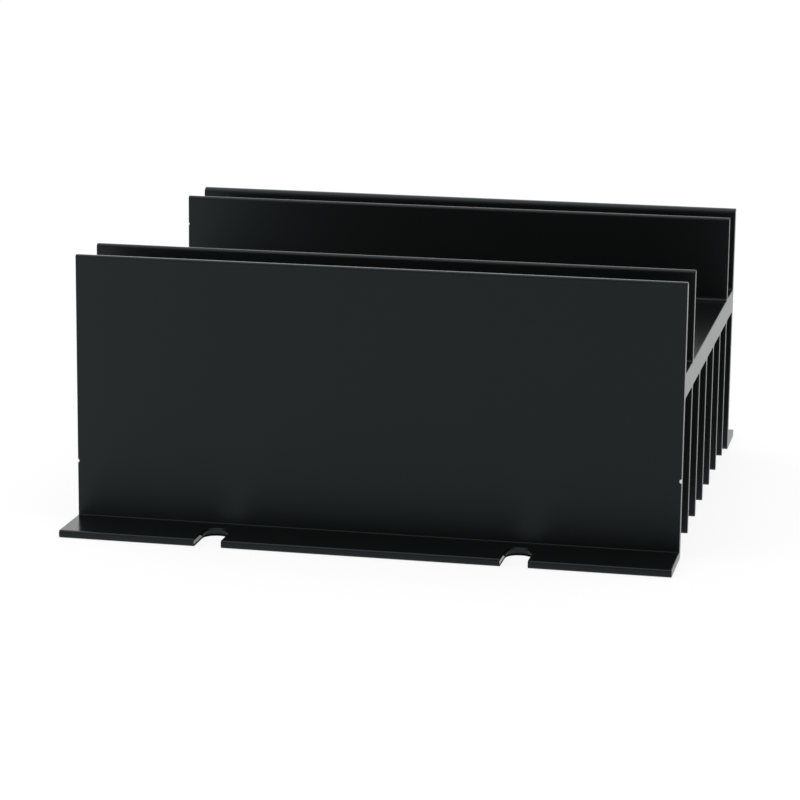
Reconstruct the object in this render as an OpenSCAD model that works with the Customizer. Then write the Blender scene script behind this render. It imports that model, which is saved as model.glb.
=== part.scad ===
// Heat sink: one length of extruded aluminium, cut square, notched in its feet and anodised black.
// X runs along the extrusion, Y across it and Z up from the surface that the feet stand on.
// The origin is in the middle of the underside.

/* [Body] */
// Length of the extrusion, along X
length = 100; // [65:1:300]
// Height from the underside of the feet to the tops of the walls
height = 45; // [36:0.5:90]
// Thickness of the two outer walls
wall_thickness = 1.6; // [1.5:0.1:3]
// Radius on the inner edges of a wall, at its top and at its foot
wall_inner_radius = 1; // [0.1:0.05:1]
// Radius on the outer edge of a wall's top
wall_outer_radius = 0.4; // [0.1:0.05:0.4]
// Height of the web's top face, where the device sits
web_top = 30; // [12:0.5:40]
// Thickness of the web
web_thickness = 4; // [2:0.5:8]

/* [Fins] */
// Number of fins under the web
lower_fin_count = 6; // [3:1:12]
// Spacing of fins and walls, centre to centre
fin_pitch = 11.25; // [6:0.25:20]
// Thickness of the fins
fin_thickness = 1.2; // [0.8:0.1:2.4]
// Gap between the lower fins and the surface below them
fin_clearance = 1.4; // [0.4:0.1:6]
// Fillet radius where walls and fins grow out of the web
root_radius = 0.7; // [0.2:0.05:1.2]

/* [Feet] */
// Reach of a foot beyond the wall's outer face
foot_reach = 10.5; // [9:0.1:30]
// Thickness of a foot
foot_thickness = 1.3; // [1:0.1:4]
// Radius on the outer edges of a foot
foot_edge_radius = 0.4; // [0.1:0.05:0.45]
// Fillet radius between a foot and its wall
foot_root_radius = 0.15; // [0.1:0.05:1.2]

/* [Notches] */
// Width of a notch, clear of an M4 screw
notch_width = 4.5; // [3:0.1:8]
// Depth of a notch from the foot's outer edge to its round end
notch_depth = 7.5; // [5:0.1:8.6]
// Spacing of the two notches in a foot, centre to centre
notch_spacing = 50; // [12:1:90]

/* [Hidden] */
$fn = 48;
// Half the spacing of the outer walls, centre to centre
wall_y = fin_pitch * (lower_fin_count + 1) / 2;
// The upper fins stand in line with the outermost lower fins
upper_fin_y = wall_y - fin_pitch;
wall_face_y = wall_y + wall_thickness / 2;
foot_edge_y = wall_face_y + foot_reach;
web_bottom = web_top - web_thickness;
// How far a cut runs past the face that it opens
cut_margin = 1;

// The area between a square corner and an arc that touches both of its sides. Added to an inside
// corner it is a fillet, and taken off an outside corner it rounds it. It lies to the right of the
// corner and above it, or to the left or below where the direction holds a -1.
module corner_piece(corner, direction, radius) {
    translate(corner)
    mirror([direction.x < 0 ? 1 : 0, 0])
    mirror([0, direction.y < 0 ? 1 : 0])
    difference() {
        square(radius);
        translate([radius, radius]) circle(radius);
    }
}

// Fin, centred on y, from its root inside the web to its fully round free edge
module fin(y, root, tip) {
    radius = fin_thickness / 2;
    round_z = tip > root ? tip - radius : tip + radius;
    translate([y - radius, min(root, round_z)]) square([fin_thickness, abs(round_z - root)]);
    translate([y, round_z]) circle(radius);
}

// Fillets on both sides of a fin, where it leaves the web upwards (1) or downwards (-1)
module fin_fillets(y, web_face, way) {
    for (side = [-1, 1])
        corner_piece([y + side * fin_thickness / 2, web_face], [side, way], root_radius);
}

// Outer wall, from the underside up through the web, with its rounded edges and its fillets
module wall_profile() {
    inner_y = wall_y - wall_thickness / 2;
    difference() {
        translate([inner_y, 0]) square([wall_thickness, height]);
        corner_piece([inner_y, 0], [1, 1], wall_inner_radius);
        corner_piece([inner_y, height], [1, -1], wall_inner_radius);
        corner_piece([wall_face_y, height], [-1, -1], wall_outer_radius);
    }
    corner_piece([inner_y, web_top], [-1, 1], root_radius);
    corner_piece([inner_y, web_bottom], [-1, -1], root_radius);
}

// Foot, from the wall out to its rounded edge, with the fillet on the wall
module foot_profile() {
    difference() {
        translate([wall_face_y, 0]) square([foot_reach, foot_thickness]);
        corner_piece([foot_edge_y, 0], [-1, 1], foot_edge_radius);
        corner_piece([foot_edge_y, foot_thickness], [-1, -1], foot_edge_radius);
    }
    corner_piece([wall_face_y, foot_thickness], [1, 1], foot_root_radius);
}

// Fin beside the device bay, above the web
module upper_fin_profile() {
    fin(upper_fin_y, web_bottom, height);
    fin_fillets(upper_fin_y, web_top, 1);
}

// Fin below the web
module lower_fin_profile(y) {
    fin(y, web_top, fin_clearance);
    fin_fillets(y, web_bottom, -1);
}

// The whole section, drawn with Y to the right and Z up
module section() {
    translate([-wall_y, web_bottom]) square([2 * wall_y, web_thickness]);
    for (side = [0, 1])
        mirror([side, 0]) {
            wall_profile();
            foot_profile();
            upper_fin_profile();
        }
    for (i = [1 : lower_fin_count])
        lower_fin_profile(i * fin_pitch - wall_y);
}

// One notch through the +Y foot, open at the foot's outer edge, with a round inner end
module notch() {
    radius = notch_width / 2;
    depth = foot_thickness + 2 * cut_margin;
    translate([0, foot_edge_y - notch_depth + radius, -cut_margin]) {
        cylinder(r = radius, h = depth);
        translate([-radius, 0, 0]) cube([notch_width, notch_depth - radius + cut_margin, depth]);
    }
}

// The extruded section with the notches cut through both feet
module heat_sink() {
    color([0.055, 0.06, 0.06])
    difference() {
        rotate([90, 0, 90]) linear_extrude(length, center = true) section();
        for (x = [-notch_spacing / 2, notch_spacing / 2], turn = [0, 180])
            rotate(turn) translate([x, 0, 0]) notch();
    }
}

heat_sink();
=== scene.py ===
# %% [markdown]
# # Heat sink of black anodised aluminium
# The real object is one length of an extruded bar: a web in the middle, two outer walls with feet to
# screw down, two short fins above the web and six long ones below it. After sawing, the feet are
# notched, the edges are deburred, and the whole piece is anodised black.
#
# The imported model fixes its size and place. We open that model first and keep its box, because the
# dressed piece has to stay inside it.

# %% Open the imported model
import math

import bpy
from mathutils import Matrix, Vector


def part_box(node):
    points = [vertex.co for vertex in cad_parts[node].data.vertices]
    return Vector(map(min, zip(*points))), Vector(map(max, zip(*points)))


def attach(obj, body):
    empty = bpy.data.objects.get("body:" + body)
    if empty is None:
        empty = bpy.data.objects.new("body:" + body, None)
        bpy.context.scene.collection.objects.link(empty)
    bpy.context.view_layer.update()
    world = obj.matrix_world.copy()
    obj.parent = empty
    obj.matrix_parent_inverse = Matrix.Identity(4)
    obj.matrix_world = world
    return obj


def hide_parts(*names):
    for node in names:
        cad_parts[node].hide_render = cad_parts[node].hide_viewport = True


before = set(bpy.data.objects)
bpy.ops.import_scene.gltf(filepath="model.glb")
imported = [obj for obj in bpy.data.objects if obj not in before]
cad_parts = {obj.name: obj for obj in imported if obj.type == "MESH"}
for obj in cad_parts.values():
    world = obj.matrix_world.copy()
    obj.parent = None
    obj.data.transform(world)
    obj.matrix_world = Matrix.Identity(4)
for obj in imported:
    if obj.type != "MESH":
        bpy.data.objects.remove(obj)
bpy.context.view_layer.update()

MM = 0.001
low_corner, high_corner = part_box("heat_sink")
length, width, height = high_corner - low_corner
print(f"packed model: {length / MM:.1f} x {width / MM:.2f} x {height / MM:.1f} mm")

# %% [markdown]
# ## Camera
# The front wall fills most of the picture, and the rows of fins run away from it with little
# convergence, so this is a long lens from about half a metre. A camera could be placed by location
# and Euler angles, but then turning it also moves the object in the picture. Here it backs away from
# the point that it aims at: upright first, then tilted down, then turned round the object.

# %% Place the camera
LENS = 132.25
SENSOR = 36.0
TURN = math.radians(11.617)
TILT = math.radians(12.369)
ROLL = math.radians(0.628)
DISTANCE = 514.6 * MM
AIM = Vector((-3.98, 0.0, 14.74)) * MM
NEAREST = 10.0 * MM
QUARTER_TURN = math.pi / 2

camera_data = bpy.data.cameras.new("camera")
camera_data.lens = LENS
camera_data.sensor_width = SENSOR
camera_data.clip_start = NEAREST
camera = bpy.data.objects.new("camera", camera_data)
camera.matrix_world = (
    Matrix.Translation(AIM)
    @ Matrix.Rotation(TURN, 4, "Z")
    @ Matrix.Rotation(QUARTER_TURN - TILT, 4, "X")
    @ Matrix.Rotation(ROLL, 4, "Z")
    @ Matrix.Translation((0.0, 0.0, DISTANCE))
)
bpy.context.scene.collection.objects.link(camera)
bpy.context.scene.camera = camera
bpy.context.scene.view_settings.view_transform = "Standard"
print("camera at", [round(value / MM, 1) for value in camera.matrix_world.translation], "mm")

# %% [markdown]
# ## Wires instead of hand-placed nodes
# The light, the shape and the finish are all node trees. Writing each node and link out by hand hides
# the idea, so one small class stands for an output of a node. Arithmetic on it adds Math nodes, and
# `node` adds any other node, with its settings first and then its sockets.

# %% A class for node outputs


class Wire:
    """An output of a node, or with no socket just the tree to add nodes to."""

    # Places of a Mix node's colour sockets, which share their names with its other sockets
    MIX_FACTOR = 0
    MIX_FIRST = 6
    MIX_SECOND = 7
    MIX_RESULT = 2

    def __init__(self, tree, socket=None):
        self.tree = tree
        self.socket = socket

    def node(self, kind, settings=None, inputs=None, output=0):
        """Adds a node and gives one of its outputs. A list of wires joins them in one socket."""
        made = self.tree.nodes.new(kind)
        for name, value in (settings or {}).items():
            setattr(made, name, value)
        for key, value in (inputs or {}).items():
            for part in value if isinstance(value, list) else [value]:
                if isinstance(part, Wire):
                    self.tree.links.new(part.socket, made.inputs[key])
                else:
                    made.inputs[key].default_value = part
        return Wire(self.tree, made.outputs[output] if len(made.outputs) else None)

    def math(self, operation, first, second):
        return self.node("ShaderNodeMath", {"operation": operation}, {0: first, 1: second})

    def __add__(self, other):
        return self.math("ADD", self, other)

    def __radd__(self, other):
        return self.math("ADD", other, self)

    def __sub__(self, other):
        return self.math("SUBTRACT", self, other)

    def __rsub__(self, other):
        return self.math("SUBTRACT", other, self)

    def __mul__(self, other):
        return self.math("MULTIPLY", self, other)

    def __rmul__(self, other):
        return self.math("MULTIPLY", other, self)

    def __truediv__(self, other):
        return self.math("DIVIDE", self, other)

    def __rtruediv__(self, other):
        return self.math("DIVIDE", other, self)

    def __lt__(self, other):
        return self.math("LESS_THAN", self, other)

    def __gt__(self, other):
        return self.math("GREATER_THAN", self, other)

    def __neg__(self):
        return self * -1.0

    def __abs__(self):
        return self.node("ShaderNodeMath", {"operation": "ABSOLUTE"}, {0: self})

    def vector(self, operation, other, output="Vector"):
        """A Vector Math node with this wire first. Operations that measure give a Value."""
        return self.node("ShaderNodeVectorMath", {"operation": operation}, {0: self, 1: other}, output)

    def axis(self, name):
        """The X, Y or Z of a vector."""
        return self.node("ShaderNodeSeparateXYZ", inputs={"Vector": self}, output=name)

    def soft_step(self, low, high):
        """0 below low, 1 above high and a smooth rise between them; low above high turns it over."""
        return self.node(
            "ShaderNodeMapRange",
            {"interpolation_type": "SMOOTHSTEP"},
            {"Value": self, "From Min": low, "From Max": high},
        )

    def blend(self, first, second):
        """A colour that goes from first to second as this wire goes from 0 to 1."""
        return self.node(
            "ShaderNodeMix",
            {"data_type": "RGBA"},
            {self.MIX_FACTOR: self, self.MIX_FIRST: first, self.MIX_SECOND: second},
            self.MIX_RESULT,
        )


def empty_tree(owner):
    """The node tree of a material or a world, cleared, as a wire to start from."""
    owner.use_nodes = True
    owner.node_tree.nodes.clear()
    return Wire(owner.node_tree)


print("wires ready")

# %% [markdown]
# ## Floor
# The object stands on a white sheet. A bright lamp would bleach a grey sheet to white, and the object
# with it. So the sheet is a matt white surface that is mostly plain white to the eye of the camera and
# to reflections, and only the rest of it takes the shadow, which stays pale. It lies a hair under the
# feet, because two surfaces in the same plane flicker.

# %% Lay the floor
FLOOR_REACH = 4.0
FLOOR_GAP = 0.02 * MM
FLOOR_WHITE = (0.96, 0.96, 0.96, 1.0)
SEEN_WHITE = 0.85

floor_sides = (-FLOOR_REACH, FLOOR_REACH)
floor_mesh = bpy.data.meshes.new("floor")
floor_mesh.from_pydata([(x, y, -FLOOR_GAP) for y in floor_sides for x in floor_sides], [], [(0, 1, 3, 2)])
floor = bpy.data.objects.new("floor", floor_mesh)
bpy.context.scene.collection.objects.link(floor)

sheet = bpy.data.materials.new("white_sheet")
sheet_tree = empty_tree(sheet)
seen_by_camera = sheet_tree.node("ShaderNodeLightPath", output="Is Camera Ray")
seen_in_gloss = sheet_tree.node("ShaderNodeLightPath", output="Is Glossy Ray")
seen_through = sheet_tree.node("ShaderNodeLightPath", output="Is Transmission Ray")
whitened = (seen_by_camera + seen_in_gloss + seen_through) * SEEN_WHITE
matt_white = sheet_tree.node("ShaderNodeBsdfDiffuse", inputs={"Color": FLOOR_WHITE})
plain_white = sheet_tree.node("ShaderNodeEmission", inputs={"Strength": 1.0})
sheet_look = sheet_tree.node("ShaderNodeMixShader", inputs={0: whitened, 1: matt_white, 2: plain_white})
sheet_tree.node("ShaderNodeOutputMaterial", inputs={"Surface": sheet_look})
floor_mesh.materials.append(sheet)
print("floor", 2 * FLOOR_REACH, "m wide")

# %% [markdown]
# ## Light tent
# Black gloss shows whatever stands in front of it, so it is photographed in a tent of white cloth with
# a dark opening round the camera. That opening is why the front wall looks black, while the sawn ends,
# which face the cloth, look pale. Four area lamps could stand for the cloth, but their edges would
# show in the gloss. The world does it in one: level 1 all round, dark towards the camera, and a little
# brighter at the back and overhead. Looked at directly, it is plain white.

# %% Hang the light tent
CLOTH_WHITE = (1.0, 1.0, 1.0, 1.0)
TENT_LEVEL = 1.0
OPENING_LEVEL = 0.02
OPENING_DARK = math.radians(25.0)
OPENING_EDGE = math.radians(58.0)
# The back and the roof set in between these cosines of the angle to the camera and to the zenith
BACKDROP_LEVEL = 1.4
BACKDROP_COSINES = (-0.3, -0.9)
ROOF_LEVEL = 1.6
ROOF_COSINES = (0.5, 0.9)

world = bpy.data.worlds.new("light_tent")
tent = empty_tree(world)
toward_camera = (camera.matrix_world.translation - AIM).normalized()
direction = tent.node("ShaderNodeTexCoord", output="Generated")
towards = direction.vector("DOT_PRODUCT", toward_camera, "Value")
in_opening = towards.soft_step(math.cos(OPENING_EDGE), math.cos(OPENING_DARK))
behind = towards.soft_step(*BACKDROP_COSINES)
overhead = direction.axis("Z").soft_step(*ROOF_COSINES)
glow = TENT_LEVEL - in_opening * (TENT_LEVEL - OPENING_LEVEL)
glow = glow + behind * (BACKDROP_LEVEL - TENT_LEVEL)
glow = glow + overhead * (ROOF_LEVEL - TENT_LEVEL)
looked_at = tent.node("ShaderNodeLightPath", output="Is Camera Ray")
glow = glow + looked_at * (TENT_LEVEL - glow)
cloth = tent.node("ShaderNodeBackground", inputs={"Color": CLOTH_WHITE, "Strength": glow})
tent.node("ShaderNodeOutputWorld", inputs={"Surface": cloth})
bpy.context.scene.world = world
print("tent with an opening of", round(math.degrees(OPENING_EDGE)), "degrees round the camera")

# %% [markdown]
# ## Softbox
# In the photograph the front wall is a shade lighter towards its left end. A small, weak softbox that
# stands low at the left gives that. A point lamp could do it, but it would leave a hard glint in the
# gloss, so this is an area lamp.

# %% Set up the softbox
SOFTBOX_PLACE = Vector((-0.22, -0.20, 0.05))
SOFTBOX_SIDE = 0.16
SOFTBOX_WATTS = 0.18

lamp_data = bpy.data.lights.new("softbox_left", "AREA")
lamp_data.size = SOFTBOX_SIDE
lamp_data.energy = SOFTBOX_WATTS
lamp = bpy.data.objects.new("softbox_left", lamp_data)
lamp.location = SOFTBOX_PLACE
lamp.rotation_euler = (-SOFTBOX_PLACE).to_track_quat("-Z", "Y").to_euler()
bpy.context.scene.collection.objects.link(lamp)
print("softbox of", SOFTBOX_WATTS, "W")

# %% [markdown]
# ## Sizes of the section
# The die sets every thickness and radius of an extruded bar, so these few sizes hold for its whole
# length. They could be typed in where they are needed, but then a change would miss some of them.
# Named once, they give the lines that the walk below follows.

# %% Name the sizes of the section
FIN_COUNT = 6
FIN_PITCH = 11.25 * MM
FIN_THICKNESS = 1.2 * MM
FIN_CLEARANCE = 1.4 * MM
WALL_THICKNESS = 1.6 * MM
WEB_TOP = 30.0 * MM
WEB_THICKNESS = 4.0 * MM
FOOT_THICKNESS = 1.3 * MM
ROOT_RADIUS = 0.7 * MM
WALL_INNER_RADIUS = 1.0 * MM
WALL_OUTER_RADIUS = 0.4 * MM
FOOT_EDGE_RADIUS = 0.4 * MM
FOOT_ROOT_RADIUS = 0.15 * MM
# A tip's two arcs leave a narrow flat between them, so that the rim inside it doesn't cross itself
TIP_ROUND_SHARE = 0.48

foot_edge = width / 2
wall_middle = FIN_PITCH * (FIN_COUNT + 1) / 2
wall_inside = wall_middle - WALL_THICKNESS / 2
wall_outside = wall_middle + WALL_THICKNESS / 2
web_bottom = WEB_TOP - WEB_THICKNESS
fin_tip_radius = FIN_THICKNESS * TIP_ROUND_SHARE
print(f"walls {2 * wall_middle / MM:.2f} mm apart, feet {(foot_edge - wall_outside) / MM:.1f} mm wide")

# %% [markdown]
# ## Section
# Extruding needs only one drawing: the section. It could be put together from rectangles, but their
# joins would have to be cleaned up. Instead we walk once round it, anticlockwise with Y to the right
# and Z up, and note each corner with the radius that the die gave it. Fin tips are almost fully round,
# roots have a fillet, a wall's inner edges are rounder than its outer one, and the loops repeat what
# the die repeats.

# %% Walk round the section


def fin_corners(y, root, tip, step):
    """The four corners of a fin on the line y, in the order of a walk that runs along Y by step."""
    near = y - step * FIN_THICKNESS / 2
    far = y + step * FIN_THICKNESS / 2
    return [
        (near, root, ROOT_RADIUS),
        (near, tip, fin_tip_radius),
        (far, tip, fin_tip_radius),
        (far, root, ROOT_RADIUS),
    ]


def section_corners():
    """Every corner of the section as (y, z, radius)."""
    corners = [
        (-foot_edge, 0.0, FOOT_EDGE_RADIUS),
        (-wall_inside, 0.0, WALL_INNER_RADIUS),
        (-wall_inside, web_bottom, ROOT_RADIUS),
    ]
    for place in range(FIN_COUNT):
        corners += fin_corners((place + 1) * FIN_PITCH - wall_middle, web_bottom, FIN_CLEARANCE, 1)
    corners += [
        (wall_inside, web_bottom, ROOT_RADIUS),
        (wall_inside, 0.0, WALL_INNER_RADIUS),
        (foot_edge, 0.0, FOOT_EDGE_RADIUS),
        (foot_edge, FOOT_THICKNESS, FOOT_EDGE_RADIUS),
        (wall_outside, FOOT_THICKNESS, FOOT_ROOT_RADIUS),
        (wall_outside, height, WALL_OUTER_RADIUS),
        (wall_inside, height, WALL_INNER_RADIUS),
        (wall_inside, WEB_TOP, ROOT_RADIUS),
    ]
    for y in (wall_middle - FIN_PITCH, FIN_PITCH - wall_middle):
        corners += fin_corners(y, WEB_TOP, height, -1)
    corners += [
        (-wall_inside, WEB_TOP, ROOT_RADIUS),
        (-wall_inside, height, WALL_INNER_RADIUS),
        (-wall_outside, height, WALL_OUTER_RADIUS),
        (-wall_outside, FOOT_THICKNESS, FOOT_ROOT_RADIUS),
        (-foot_edge, FOOT_THICKNESS, FOOT_EDGE_RADIUS),
    ]
    return corners


corners = section_corners()
corner_mesh = bpy.data.meshes.new("heat_sink_section")
corner_mesh.from_pydata([(y, z, 0.0) for y, z, radius in corners], [], [])
corner_radius = corner_mesh.attributes.new("corner_radius", "FLOAT", "POINT")
corner_radius.data.foreach_set("value", [radius for y, z, radius in corners])
print("section of", len(corners), "corners")

# %% [markdown]
# ## Sweep with closed ends
# A plain extrusion would have razor edges where the saw went through. The real ones are deburred. A
# Bevel modifier could round them, but it trips over the many short arcs. So the section isn't pushed
# along a line: a short profile, with a rounded corner at each end, is swept round the section instead.
# The ends that this leaves open are filled and welded. The notch cutters below need the same steps, so
# they are a node group with its own inputs.

# %% Build the sweep as a node group
WELD = 0.001 * MM
FACES_AT_A_CLOSED_EDGE = 2.0


def open_group(name, sockets):
    """A new node group with these inputs and a geometry output. Gives the group, a wire to start
    from, and the inputs as wires by name."""
    group = bpy.data.node_groups.new(name, "GeometryNodeTree")
    for socket, kind in sockets.items():
        group.interface.new_socket(socket, in_out="INPUT", socket_type=kind)
    group.interface.new_socket("Geometry", in_out="OUTPUT", socket_type="NodeSocketGeometry")
    start = Wire(group)
    return group, start, {socket: start.node("NodeGroupInput", output=socket) for socket in sockets}


sweep_group, swept, given = open_group(
    "sweep_with_closed_ends",
    {
        "Outline": "NodeSocketGeometry",
        "Profile": "NodeSocketGeometry",
        "Low end": "NodeSocketFloat",
        "High end": "NodeSocketFloat",
    },
)
sides = swept.node(
    "GeometryNodeCurveToMesh", inputs={"Curve": given["Outline"], "Profile Curve": given["Profile"]}
)
edge_faces = swept.node("GeometryNodeInputMeshEdgeNeighbors")
along = swept.node("GeometryNodeInputPosition").axis("Z")
middle = (given["Low end"] + given["High end"]) / 2.0
open_rim = (edge_faces < FACES_AT_A_CLOSED_EDGE) * (along > middle)
rim = swept.node("GeometryNodeMeshToCurve", inputs={"Mesh": sides, "Selection": open_rim})
cap = swept.node("GeometryNodeFillCurve", {"mode": "TRIANGLES"}, {"Curve": rim})
high_place = swept.node("ShaderNodeCombineXYZ", inputs={"Z": given["High end"]})
low_place = swept.node("ShaderNodeCombineXYZ", inputs={"Z": given["Low end"]})
high_cap = swept.node("GeometryNodeTransform", inputs={"Geometry": cap, "Translation": high_place})
turned_cap = swept.node("GeometryNodeFlipFaces", inputs={"Mesh": cap})
low_cap = swept.node("GeometryNodeTransform", inputs={"Geometry": turned_cap, "Translation": low_place})
joined = swept.node("GeometryNodeJoinGeometry", inputs={"Geometry": [sides, high_cap, low_cap]})
welded = swept.node("GeometryNodeMergeByDistance", inputs={"Geometry": joined, "Distance": WELD})
swept.node("NodeGroupOutput", inputs={"Geometry": welded})
print("sweep group of", len(sweep_group.nodes), "nodes")

# %% [markdown]
# ## Helpers for curves
# The bar and the notch cutters are drawn with the same three steps: a profile, rounded corners and the
# sweep. A profile could be drawn point by point, but a quadrilateral through four points that is
# opened at its last side needs only one node more. Corners are rounded in short straight steps, so
# that the number of faces stays low and known.

# %% Three helpers for curves


def open_profile(tree, points):
    """An open line to sweep, through four points (outward, along) from the high end to the low end.

    A sweep turns a profile's Y downwards, so Y here is minus the place along the sweep.
    """
    places = {
        f"Point {number}": tree.node("ShaderNodeCombineXYZ", inputs={"X": outward, "Y": -along})
        for number, (outward, along) in enumerate(points, 1)
    }
    closed = tree.node("GeometryNodeCurvePrimitiveQuadrilateral", {"mode": "POINTS"}, places)
    return tree.node("GeometryNodeSetSplineCyclic", inputs={"Geometry": closed, "Cyclic": False})


def rounded(curve, radius, steps):
    """A curve with its corners rounded by short straight steps."""
    return curve.node(
        "GeometryNodeFilletCurve",
        {"mode": "POLY"},
        {"Curve": curve, "Radius": radius, "Count": steps, "Limit Radius": True},
    )


def closed_sweep(outline, profile, low, high):
    """The node group above, as one node."""
    return outline.node(
        "GeometryNodeGroup",
        {"node_tree": sweep_group},
        {"Outline": outline, "Profile": profile, "Low end": low, "High end": high},
    )


print("helpers for curves ready")

# %% [markdown]
# ## Bar
# This is the bar as it leaves the saw. The corners become a closed line, and the sweep gives it its
# length. A bevel could round the bar afterwards, but here every corner has its own radius, so the line
# is rounded before it is swept. The tree's inputs carry the sizes by name, so another length or notch
# needs no change inside.

# %% Start the body's tree with the bar
ARC_STEPS = 8
END_STEPS = 4
# Reach of the rim at a cut end, in end radii, so that its rounded corner has room
LIP_SHARE = 1.2

body_group, start, size = open_group(
    "notched_extrusion",
    {
        "Corners": "NodeSocketGeometry",
        "Length": "NodeSocketFloat",
        "End radius": "NodeSocketFloat",
        "Foot edge": "NodeSocketFloat",
        "Foot thickness": "NodeSocketFloat",
        "Notch width": "NodeSocketFloat",
        "Notch depth": "NodeSocketFloat",
        "Notch spacing": "NodeSocketFloat",
        "Rim chamfer": "NodeSocketFloat",
        "Finish": "NodeSocketMaterial",
    },
)
dots = start.node("GeometryNodeMeshToPoints", inputs={"Mesh": size["Corners"]})
loop = start.node("GeometryNodePointsToCurves", inputs={"Points": dots})
loop = start.node("GeometryNodeSetSplineCyclic", inputs={"Geometry": loop, "Cyclic": True})
radius = start.node("GeometryNodeInputNamedAttribute", {"data_type": "FLOAT"}, {"Name": "corner_radius"})
section = rounded(loop, radius, ARC_STEPS)

bar_high = size["Length"] / 2.0
bar_low = -bar_high
lip = size["End radius"] * -LIP_SHARE
bar_ends = open_profile(start, [(lip, bar_high), (0.0, bar_high), (0.0, bar_low), (lip, bar_low)])
bar = closed_sweep(section, rounded(bar_ends, size["End radius"], END_STEPS), bar_low, bar_high)
lengthwise = (QUARTER_TURN, 0.0, QUARTER_TURN)
bar = start.node("GeometryNodeTransform", inputs={"Geometry": bar, "Rotation": lengthwise})
print("bar of", len(body_group.nodes), "nodes so far")

# %% [markdown]
# ## Notches
# Four notches let the feet be screwed down: a slot with a round end, open at the foot's edge. Each could
# be cut by itself, but one cutter, instanced on the four corners of a grid, keeps them alike, as one
# punch does. It is swept like the bar, with a profile that flares a little at both faces of the foot,
# because a punched rim isn't quite sharp. Its outer end is round too, but lies beyond the foot.

# %% Add the notch cutters
FEET = 2
NOTCHES_PER_FOOT = 2
SLOT_ROUND_SHARE = 0.499
SLOT_STEPS = 32
# Height of the flare, in rim chamfers, so that it runs past the foot's faces
FLARE_SHARE = 3.0

overrun = size["Notch width"]
slot_outline = start.node(
    "GeometryNodeCurvePrimitiveQuadrilateral",
    inputs={"Width": size["Notch width"], "Height": size["Notch depth"] + overrun},
)
slot_outline = rounded(slot_outline, size["Notch width"] * SLOT_ROUND_SHARE, SLOT_STEPS)
flare = size["Rim chamfer"] * FLARE_SHARE
rim_low = size["Rim chamfer"]
rim_high = size["Foot thickness"] - rim_low
cutter_low = rim_low - flare
cutter_high = size["Foot thickness"] - cutter_low
slot_profile = open_profile(
    start, [(flare, cutter_high), (0.0, rim_high), (0.0, rim_low), (flare, cutter_low)]
)
cutter = closed_sweep(slot_outline, slot_profile, cutter_low, cutter_high)
cutter_middle = size["Foot edge"] + (overrun - size["Notch depth"]) / 2.0
places = start.node(
    "GeometryNodeMeshGrid",
    inputs={
        "Size X": size["Notch spacing"],
        "Size Y": cutter_middle * 2.0,
        "Vertices X": NOTCHES_PER_FOOT,
        "Vertices Y": FEET,
    },
)
cutters = start.node("GeometryNodeInstanceOnPoints", inputs={"Points": places, "Instance": cutter})
cutters = start.node("GeometryNodeRealizeInstances", inputs={"Geometry": cutters})
print("notch cutters added,", len(body_group.nodes), "nodes so far")

# %% [markdown]
# ## Nicks
# Small bites on the cut ends are where the bar hung on the anodising rack. They could be sculpted, but
# that needs a far finer mesh. A stretched sphere bites each one out instead, in the same exact boolean
# as the notches, so that the result stays one closed skin.

# %% Bite out the nicks and the notches
PEBBLE_STEPS = 3
fin_front = wall_middle - FIN_PITCH - FIN_THICKNESS / 2
NICKS = [
    (Vector((-length / 2, -wall_outside, 10.5 * MM)), Vector((0.12, 0.30, 0.22)) * MM),
    (Vector((length / 2, -wall_outside, 13.0 * MM)), Vector((0.11, 0.30, 0.34)) * MM),
    (Vector((-length / 2, fin_front, 39.8 * MM)), Vector((0.12, 0.20, 0.12)) * MM),
]

bites = [cutters]
for nick_place, nick_size in NICKS:
    pebble = start.node("GeometryNodeMeshIcoSphere", inputs={"Radius": 1.0, "Subdivisions": PEBBLE_STEPS})
    bite = start.node(
        "GeometryNodeTransform", inputs={"Geometry": pebble, "Translation": nick_place, "Scale": nick_size}
    )
    bites.append(bite)
cut = start.node(
    "GeometryNodeMeshBoolean",
    {"operation": "DIFFERENCE", "solver": "EXACT"},
    {"Mesh 1": bar, "Mesh 2": bites},
)
cut = start.node("GeometryNodeMergeByDistance", inputs={"Geometry": cut, "Distance": WELD})
print("nicks:", len(NICKS), "added,", len(body_group.nodes), "nodes so far")

# %% [markdown]
# ## Edges and faces
# The die's round edges are soft lines of light on the real bar, and the cut rims are crisp ones. Smooth
# shading all over would smear the rims, so edges sharper than a limit stay sharp. Each face also stores
# which way it faces, because the finish differs between sawn ends, level faces and flanks. The tree
# ends with its instances made real and the finish set, because an export keeps only that.

# %% Shade the body and end its tree
SMOOTH_LIMIT = math.radians(35.0)

sharp = start.node("GeometryNodeInputMeshEdgeAngle") > SMOOTH_LIMIT
shaded = start.node(
    "GeometryNodeSetShadeSmooth", {"domain": "FACE"}, {"Geometry": cut, "Shade Smooth": True}
)
shaded = start.node(
    "GeometryNodeSetShadeSmooth",
    {"domain": "EDGE"},
    {"Geometry": shaded, "Selection": sharp, "Shade Smooth": False},
)
marked = start.node(
    "GeometryNodeStoreNamedAttribute",
    {"data_type": "FLOAT_VECTOR", "domain": "FACE"},
    {"Geometry": shaded, "Name": "facing", "Value": start.node("GeometryNodeInputNormal")},
)
whole = start.node("GeometryNodeRealizeInstances", inputs={"Geometry": marked})
dressed = start.node("GeometryNodeSetMaterial", inputs={"Geometry": whole, "Material": size["Finish"]})
start.node("NodeGroupOutput", inputs={"Geometry": dressed})
print("body tree of", len(body_group.nodes), "nodes")
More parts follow.
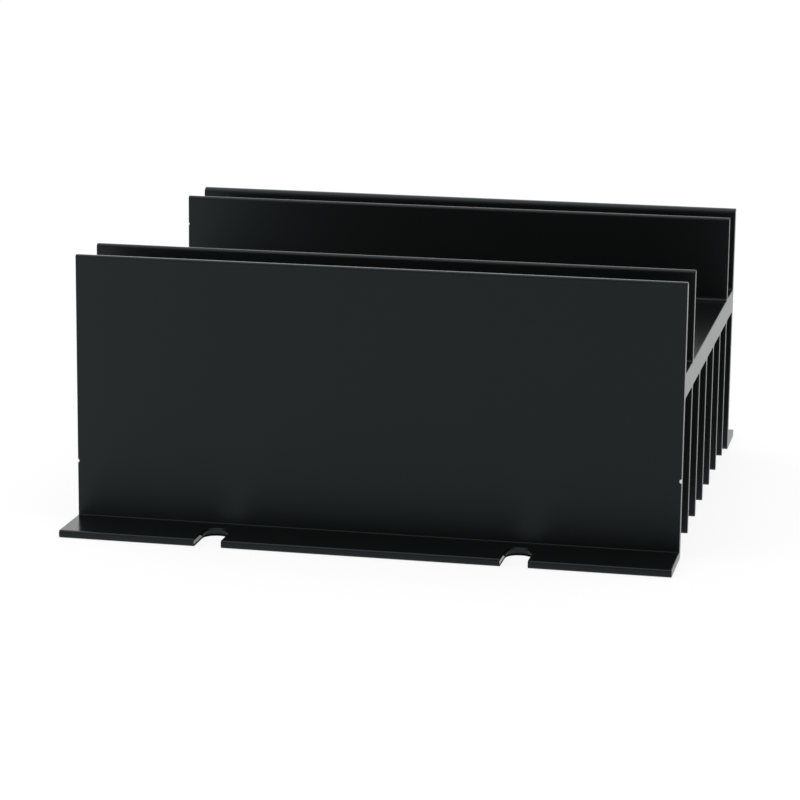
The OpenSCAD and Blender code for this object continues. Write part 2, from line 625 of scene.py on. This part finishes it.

# %% [markdown]
# ## Finish: where it differs
# One anodised layer covers everything, but the metal under it was worked in three ways. Flanks and
# level faces were drawn through the die, the ends were sawn, and the notch walls were punched: rolled
# in at the top, burnished in the middle and torn at the bottom. The rolled and torn bands are also
# painted shade: they go matt black where the walls lie in shade by the floor or mirror the dark rear
# wall. Three materials could show that, but the piece has one finish. So masks between 0 and 1 find
# each zone, from the way that a face points and from its place on the object.

# %% Find the zones of the finish
SAWN_FACING = (0.7, 0.95)
LEVEL_FACING = (0.2, 0.8)
NOTCH_SIDE_FACING = 0.6
PUNCHED_FROM = wall_outside + 1.0 * MM
PUNCHED_TO = foot_edge - 0.5 * MM
END_MARGIN = 1.0 * MM
# Heights of the torn and rolled bands, which are also painted shade
TORN_AND_SHADE_HEIGHTS = (0.525 * MM, 0.245 * MM)
ROLLED_AND_SHADE_HEIGHTS = (0.8 * MM, 1.1 * MM)

finish = bpy.data.materials.new("black_anodised")
layer = empty_tree(finish)
place = layer.node("ShaderNodeTexCoord", output="Object")
facing = layer.node("ShaderNodeAttribute", {"attribute_name": "facing"}, output="Vector")
endward = abs(facing.axis("X"))
sawn = endward.soft_step(*SAWN_FACING)
level = abs(facing.axis("Z")).soft_step(*LEVEL_FACING)

above_floor = place.axis("Z")
outward = abs(place.axis("Y"))
off_edge = layer.math("MAXIMUM", endward > NOTCH_SIDE_FACING, outward < PUNCHED_TO)
between_ends = abs(place.axis("X")) < length / 2 - END_MARGIN
punched = (outward > PUNCHED_FROM) * off_edge * between_ends * (1.0 - level)
# Painted shade: a matt black band low on the notch walls, partly torn metal and partly the shade where the
# walls meet the floor
torn_and_shade_band = punched * above_floor.soft_step(*TORN_AND_SHADE_HEIGHTS)
# Painted shade: a matt black band high on the notch sides, partly rolled metal and partly the dark rear
# wall that they mirror
rolled_and_shade_band = punched * sawn * above_floor.soft_step(*ROLLED_AND_SHADE_HEIGHTS)
print("zones of the finish:", len(finish.node_tree.nodes), "nodes so far")

# %% [markdown]
# ## Finish: marks
# Close up, the die leaves fine lines along the bar, the saw leaves arcs round its blade, and the etch
# before anodising leaves a fine grain. Drawn with an image, they would blur when seen close, so they
# are noise: squeezed lengthwise for the die, and read along the distance from the blade's centre for
# the saw. Scales are in marks to the metre.

# %% Draw the marks
DRAW_SQUEEZE = (0.012, 1.0, 1.0)
DIE_LINE_SCALE = 2600.0
STREAK_SCALE = 420.0
SAW_LINE_SCALE = 3000.0
ETCH_SCALE = 16000.0
CLOUD_SCALE = 70.0
FINE_DETAIL = 2.0
ROUGH_DETAIL = 3.0
BLADE_CENTRE = (0.0, 90.0 * MM, -140.0 * MM)


def grain(where, scale, detail):
    """Noise between 0 and 1 on these coordinates."""
    return where.node("ShaderNodeTexNoise", inputs={"Vector": where, "Scale": scale, "Detail": detail})


drawn_out = place.vector("MULTIPLY", DRAW_SQUEEZE)
die_lines = grain(drawn_out, DIE_LINE_SCALE, FINE_DETAIL)
streaks = grain(drawn_out, STREAK_SCALE, FINE_DETAIL)
etch = grain(place, ETCH_SCALE, FINE_DETAIL)
cloud = grain(place, CLOUD_SCALE, ROUGH_DETAIL)
blade_radius = place.vector("DISTANCE", BLADE_CENTRE, "Value")
saw_lines = layer.node(
    "ShaderNodeTexNoise",
    {"noise_dimensions": "1D"},
    {"W": blade_radius, "Scale": SAW_LINE_SCALE, "Detail": ROUGH_DETAIL},
)
print("marks of the finish:", len(finish.node_tree.nodes), "nodes so far")

# %% [markdown]
# ## Finish: colour, gloss and relief
# The dye isn't even: it greys a little in clouds and streaks, and in the nicks the metal shows bare.
# One roughness all over would make it look like plastic. Drawn flanks scatter most, level faces and
# sawn ends less, and the burnished notch walls shine. The marks go into roughness as well as into
# relief, because at this size gloss shows them first.

# %% Mix colour, roughness and bump
BLACK = (0.0036, 0.0046, 0.0044, 1.0)
GREYED = (0.0047, 0.0061, 0.0059, 1.0)
BARE_METAL = (0.80, 0.80, 0.79, 1.0)
CLOUD_SHARE = 0.7
STREAK_SHARE = 0.3
# Where a nick's bare metal ends, in its largest half sizes
BARE_EDGE = (1.15, 0.85)
FLANK_ROUGHNESS = 0.40
LEVEL_ROUGHNESS = 0.20
SAWN_ROUGHNESS = 0.30
PUNCHED_ROUGHNESS = 0.10
NOISE_MIDDLE = 0.5
STREAK_GLOSS = 0.04
CLOUD_GLOSS = 0.03
ETCH_GLOSS = 0.03
MICRON = 0.001 * MM
DIE_LINE_DEPTH = 0.5 * MICRON
SAW_LINE_DEPTH = 0.8 * MICRON
ETCH_DEPTH = 0.3 * MICRON

bare = 0.0
for nick_place, nick_size in NICKS:
    outer, inner = (max(nick_size) * share for share in BARE_EDGE)
    bare = place.vector("DISTANCE", nick_place, "Value").soft_step(outer, inner) + bare
black = (cloud * CLOUD_SHARE + streaks * STREAK_SHARE).blend(BLACK, GREYED)
colour = bare.blend(black, BARE_METAL)

roughness = FLANK_ROUGHNESS + level * (LEVEL_ROUGHNESS - FLANK_ROUGHNESS)
roughness = roughness + sawn * (SAWN_ROUGHNESS - FLANK_ROUGHNESS)
roughness = roughness + punched * (PUNCHED_ROUGHNESS - roughness)
roughness = roughness + (streaks - NOISE_MIDDLE) * STREAK_GLOSS
roughness = roughness + (cloud - NOISE_MIDDLE) * CLOUD_GLOSS
roughness = roughness + (etch - NOISE_MIDDLE) * ETCH_GLOSS

relief = die_lines * (1.0 - sawn) * DIE_LINE_DEPTH + saw_lines * sawn * SAW_LINE_DEPTH
relief = relief + etch * ETCH_DEPTH
bump = layer.node("ShaderNodeBump", inputs={"Strength": 1.0, "Distance": 1.0, "Height": relief})
print("colour, gloss and relief:", len(finish.node_tree.nodes), "nodes so far")

# %% [markdown]
# ## Finish: the anodised layer
# Anodising grows a clear, hard layer on the etched metal, and black dye fills it. So the surface is
# dark with the gloss of a clear layer: low seen square on, and strong at a glancing angle, which is
# why the sawn ends look pale grey. A clear coat over black could be stacked from two shaders, but a
# dielectric with a dark base does the same in one. The lines of the die spread its gloss across the
# bar, which Anisotropic does. On the torn and rolled notch bands a matt shader with no gloss takes
# over. That is partly torn and rolled metal and partly painted shade, for the shade by the floor and
# the dark rear wall that these bands mirror.

# %% Make the finish
LAYER_INDEX = 1.345
LAYER_TINT = (0.86, 0.98, 1.0, 1.0)
DRAWN = 0.6
ACROSS_THE_DRAW = 0.25

satin = layer.node(
    "ShaderNodeBsdfPrincipled",
    inputs={
        "Base Color": colour,
        "Roughness": roughness,
        "Metallic": bare,
        "IOR": LAYER_INDEX,
        "Specular Tint": LAYER_TINT,
        "Anisotropic": DRAWN,
        "Anisotropic Rotation": ACROSS_THE_DRAW,
        "Normal": bump,
    },
)
# Painted shade: black with no gloss at all, for the torn and rolled bands, standing in partly for shade
painted_shade_matt = layer.node(
    "ShaderNodeBsdfPrincipled",
    inputs={"Base Color": BLACK, "Roughness": 1.0, "Specular IOR Level": 0.0},
)
# The torn and rolled bands take the matt black, which is partly painted shade
surface = layer.node("ShaderNodeMixShader", inputs={0: torn_and_shade_band + rolled_and_shade_band, 1: satin, 2: painted_shade_matt})
layer.node("ShaderNodeOutputMaterial", inputs={"Surface": surface})
print("finish of", len(finish.node_tree.nodes), "nodes")

# %% [markdown]
# ## The plain mesh
# The tree could stay on as a modifier, but the frame ties plain meshes to its bodies. So its inputs are
# set by identifier, the result is copied to a plain mesh, and the tree goes with its maker. Weighted
# normals keep the wide flats flat while their narrow rounded edges stay smooth.
#
# With nothing in its Tangent socket, a drawn gloss circles the upright axis of the mesh's texture
# space, as on a turned disc. With that axis far out to one side, it runs straight along the bar.

# %% Turn the tree into a mesh
SIZES = {
    "Length": length,
    "End radius": 0.12 * MM,
    "Foot edge": foot_edge,
    "Foot thickness": FOOT_THICKNESS,
    "Notch width": 4.5 * MM,
    "Notch depth": 7.5 * MM,
    "Notch spacing": 50.0 * MM,
    "Rim chamfer": 0.04 * MM,
    "Finish": finish,
}
FAR_AXIS = (-0.2, -10.0, 0.0)

maker = bpy.data.objects.new("section_walk", corner_mesh)
bpy.context.scene.collection.objects.link(maker)
shape = maker.modifiers.new("shape", "NODES")
shape.node_group = body_group
for item in body_group.interface.items_tree:
    if item.in_out == "INPUT" and item.name in SIZES:
        shape[item.identifier] = SIZES[item.name]
weighting = maker.modifiers.new("weighting", "WEIGHTED_NORMAL")
weighting.keep_sharp = True
depsgraph = bpy.context.evaluated_depsgraph_get()
body_mesh = bpy.data.meshes.new_from_object(maker.evaluated_get(depsgraph), depsgraph=depsgraph)
bpy.data.objects.remove(maker)

body_mesh.name = "heat_sink_body"
body_mesh.use_auto_texspace = False
body_mesh.texspace_location = FAR_AXIS
body_mesh.texspace_size = (1.0, 1.0, 1.0)
body_mesh.materials.clear()
body_mesh.materials.append(finish)
body_mesh.polygons.foreach_set("material_index", [0] * len(body_mesh.polygons))
body = bpy.data.objects.new("heat_sink_body", body_mesh)
bpy.context.scene.collection.objects.link(body)
print("body of", len(body_mesh.polygons), "faces")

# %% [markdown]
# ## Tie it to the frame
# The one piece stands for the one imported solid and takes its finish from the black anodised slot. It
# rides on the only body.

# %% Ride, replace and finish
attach(body, "root")
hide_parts("heat_sink")
